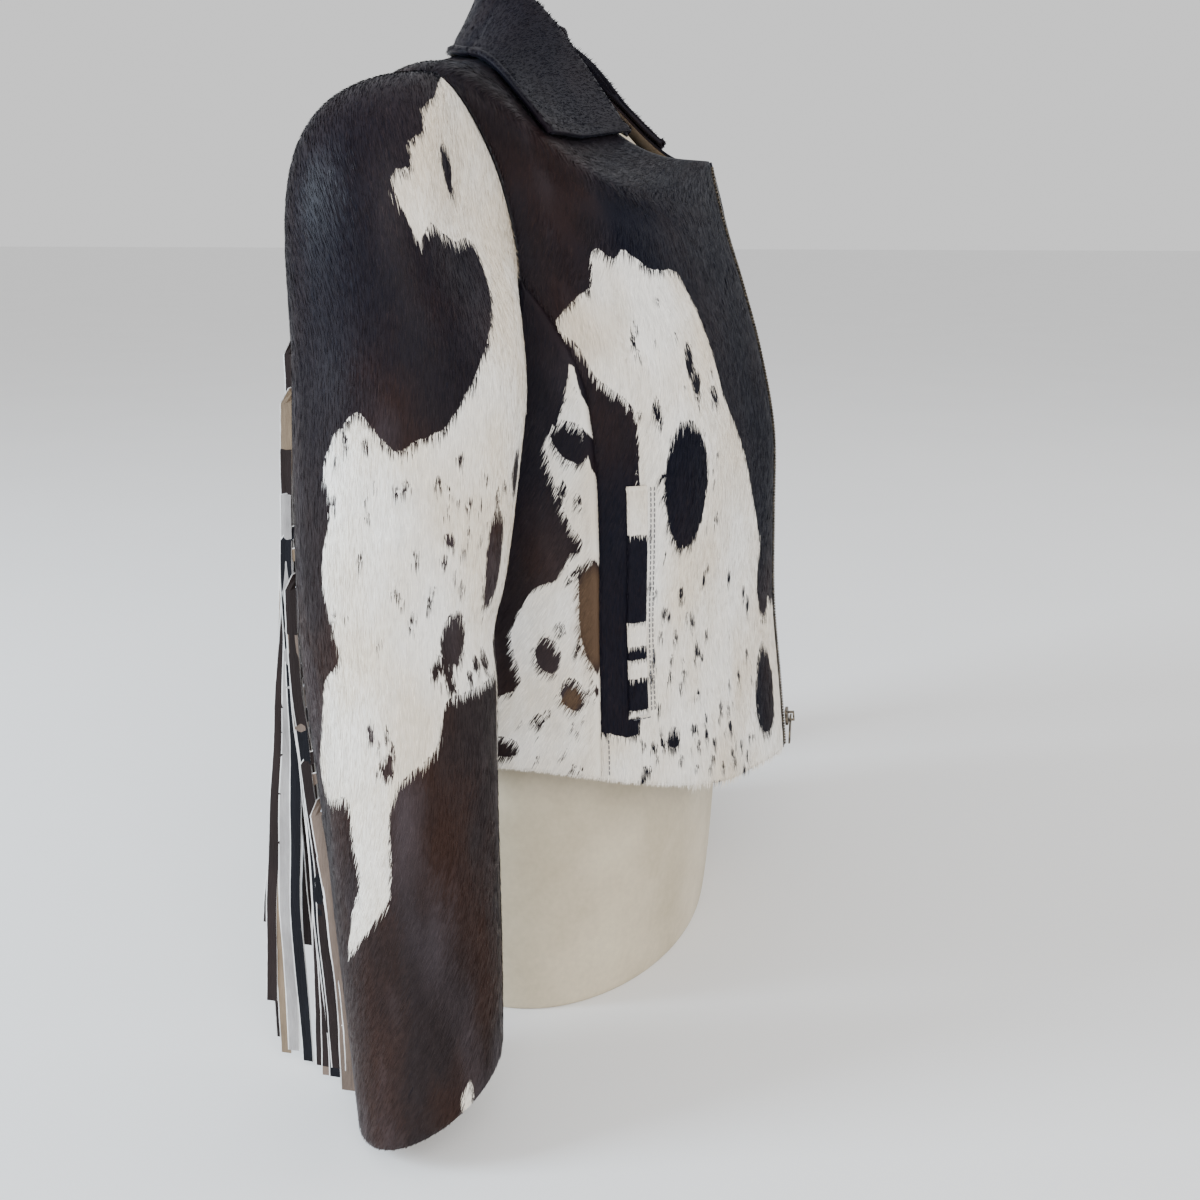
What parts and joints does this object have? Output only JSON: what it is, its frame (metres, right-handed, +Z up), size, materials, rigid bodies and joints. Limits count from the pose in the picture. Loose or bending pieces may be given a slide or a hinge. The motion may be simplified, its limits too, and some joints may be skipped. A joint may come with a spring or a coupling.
{
  "type": "cowhide jacket on a limbless dress form",
  "caption": "Cropped hair-on cowhide jacket with a fold-over collar, open zip, welt pockets and fringed sleeves, worn by a limbless dress form.",
  "frame": {"origin": "middle of the dress form's flat underside", "axes": "+Z up, -Y the way that the wearer faces, +X to the wearer's left"},
  "size_m": [0.672, 0.2948, 0.6437],
  "materials": {
    "black_hide": "hair-on cowhide, black with white patches, soft sheen",
    "brown_hide": "hair-on cowhide, dark brown with white patches, soft sheen",
    "fringe_hide": "cut strips of hair-on hide with a suede back",
    "zip_metal": "dark antique metal",
    "form_shell": "cream, smooth, softly mottled"
  },
  "bodies": {
    "jacket_on_form": {"front_right": "black_hide", "front_left": "black_hide", "side_panel_right": "brown_hide", "side_panel_left": "brown_hide", "pocket_welt_right": "black_hide", "pocket_welt_left": "black_hide", "top_sleeve_right": "brown_hide", "top_sleeve_left": "brown_hide", "under_sleeve_right": "brown_hide", "under_sleeve_left": "brown_hide", "back": "brown_hide", "collar": "black_hide", "zip_row_right": "zip_metal", "zip_row_left": "zip_metal", "zip_slider": "zip_metal", "sleeve_fringe_right": "fringe_hide", "sleeve_fringe_left": "fringe_hide", "dress_form": "form_shell"},
    "pull": {"zip_pull": "zip_metal"}
  },
  "joints": [
    {"name": "zip_pull_swing", "type": "hinge", "parent": "jacket_on_form", "child": "pull", "pos_m": [0.005, -0.16686, 0.15852], "axis": [-1, 0, 0], "range_deg": [0, 110]}
  ]
}
